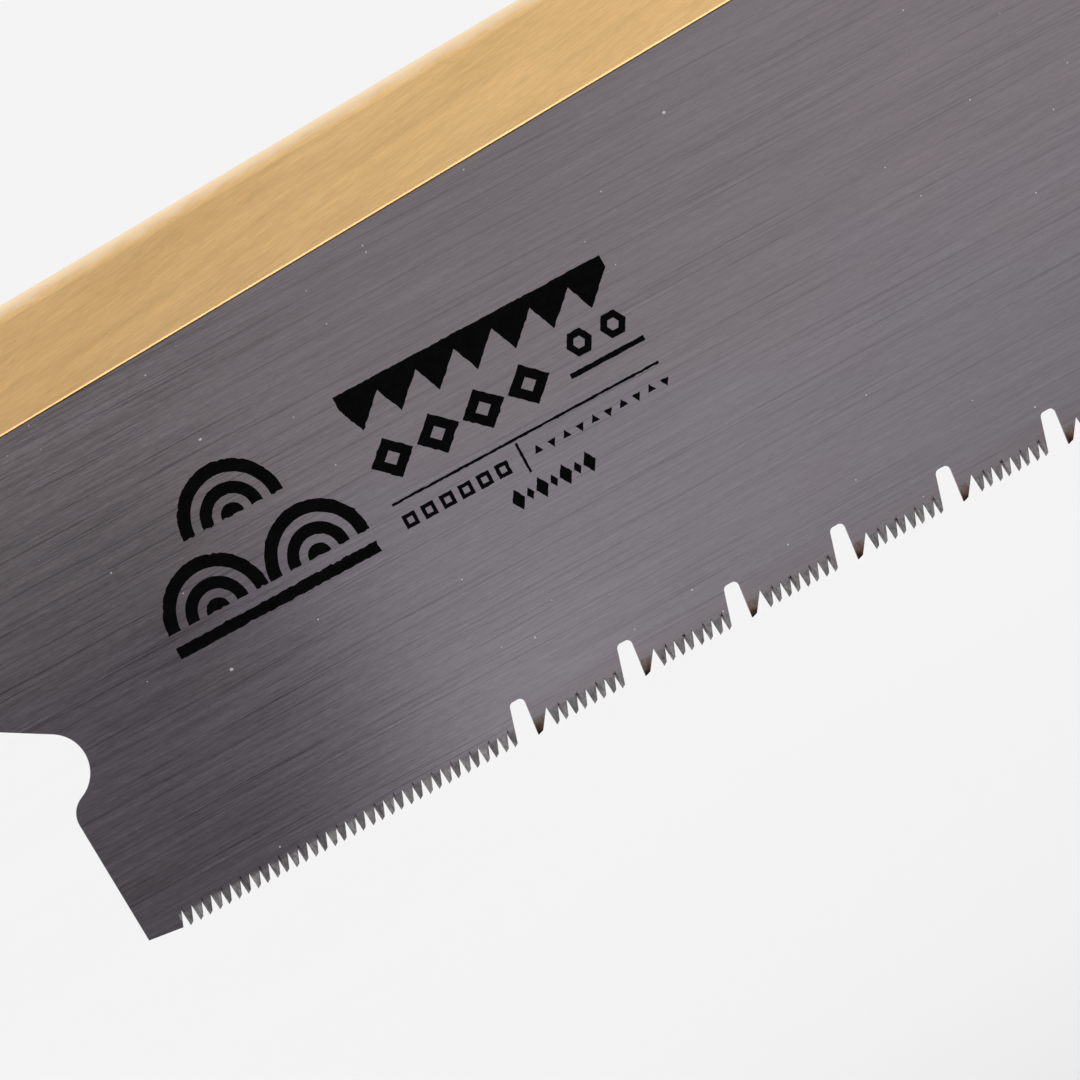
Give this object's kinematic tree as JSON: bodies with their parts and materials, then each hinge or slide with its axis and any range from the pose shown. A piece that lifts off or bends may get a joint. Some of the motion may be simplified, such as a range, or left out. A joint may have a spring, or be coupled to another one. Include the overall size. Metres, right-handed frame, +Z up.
{
  "type": "back saw",
  "caption": "Pull-stroke back saw with a thin toothed steel blade under a folded brass spine, clamped in a slotted holder on a straight cane-wrapped wooden handle.",
  "frame": {"origin": "middle of the grip, on the handle's long axis", "axes": "+X along the saw from the handle towards the blade's toe, +Z up to the spine with the teeth pointing down, Y across the saw with the printed face of the blade and the screw's head towards -Y"},
  "size_m": [0.4239, 0.0228, 0.0675],
  "materials": {
    "blade_steel": "brushed along the tooth line",
    "spine_brass": "satin, fine streaks along the spine",
    "holder_steel": "pressed, satin",
    "pin_steel": "ground",
    "fastener_steel": "zinc plated",
    "ferrule_brass": "satin",
    "handle_wood": "bare, fine grained softwood",
    "rattan_cane": "split cane, natural gloss",
    "binding_thread": "waxed thread",
    "print_ink": "printed on the blade's left face",
    "eyelet_brass": "satin"
  },
  "bodies": {
    "handle": {"holder_plate_left": "holder_steel", "holder_plate_right": "holder_steel", "holder_spacer": "holder_steel", "holder_pin_front": "pin_steel", "holder_pin_rear": "pin_steel", "clamp_nut": "fastener_steel", "ferrule": "ferrule_brass", "ferrule_brads": "ferrule_brass", "handle_core_left": "handle_wood", "handle_core_right": "handle_wood", "rattan_wrap": "rattan_cane", "wrap_binding_front": "binding_thread", "wrap_binding_rear": "binding_thread", "hang_eyelet": "eyelet_brass", "eyelet_washer": "eyelet_brass"},
    "blade_unit": {"blade": "blade_steel", "spine": "spine_brass"},
    "clamp_washer": {"clamp_washer": "fastener_steel"},
    "clamp_screw": {"clamp_screw": "fastener_steel"}
  },
  "joints": [
    {"name": "blade_slide", "type": "slide", "parent": "handle", "child": "blade_unit", "axis": [1, 0, 0], "range_m": [0, 0.0175]},
    {"name": "clamp_backoff", "type": "slide", "parent": "handle", "child": "clamp_washer", "axis": [0, -1, 0], "range_m": [0, 0.00105]},
    {"name": "clamp_screw_turn", "type": "hinge", "parent": "clamp_washer", "child": "clamp_screw", "pos_m": [0.121, 0, -0.0054], "axis": [0, -1, 0], "range_deg": [0, 541]}
  ],
  "couplings": [
    {"joint": "clamp_screw_turn", "follows": "clamp_backoff", "rad_per_m": 8976}
  ]
}
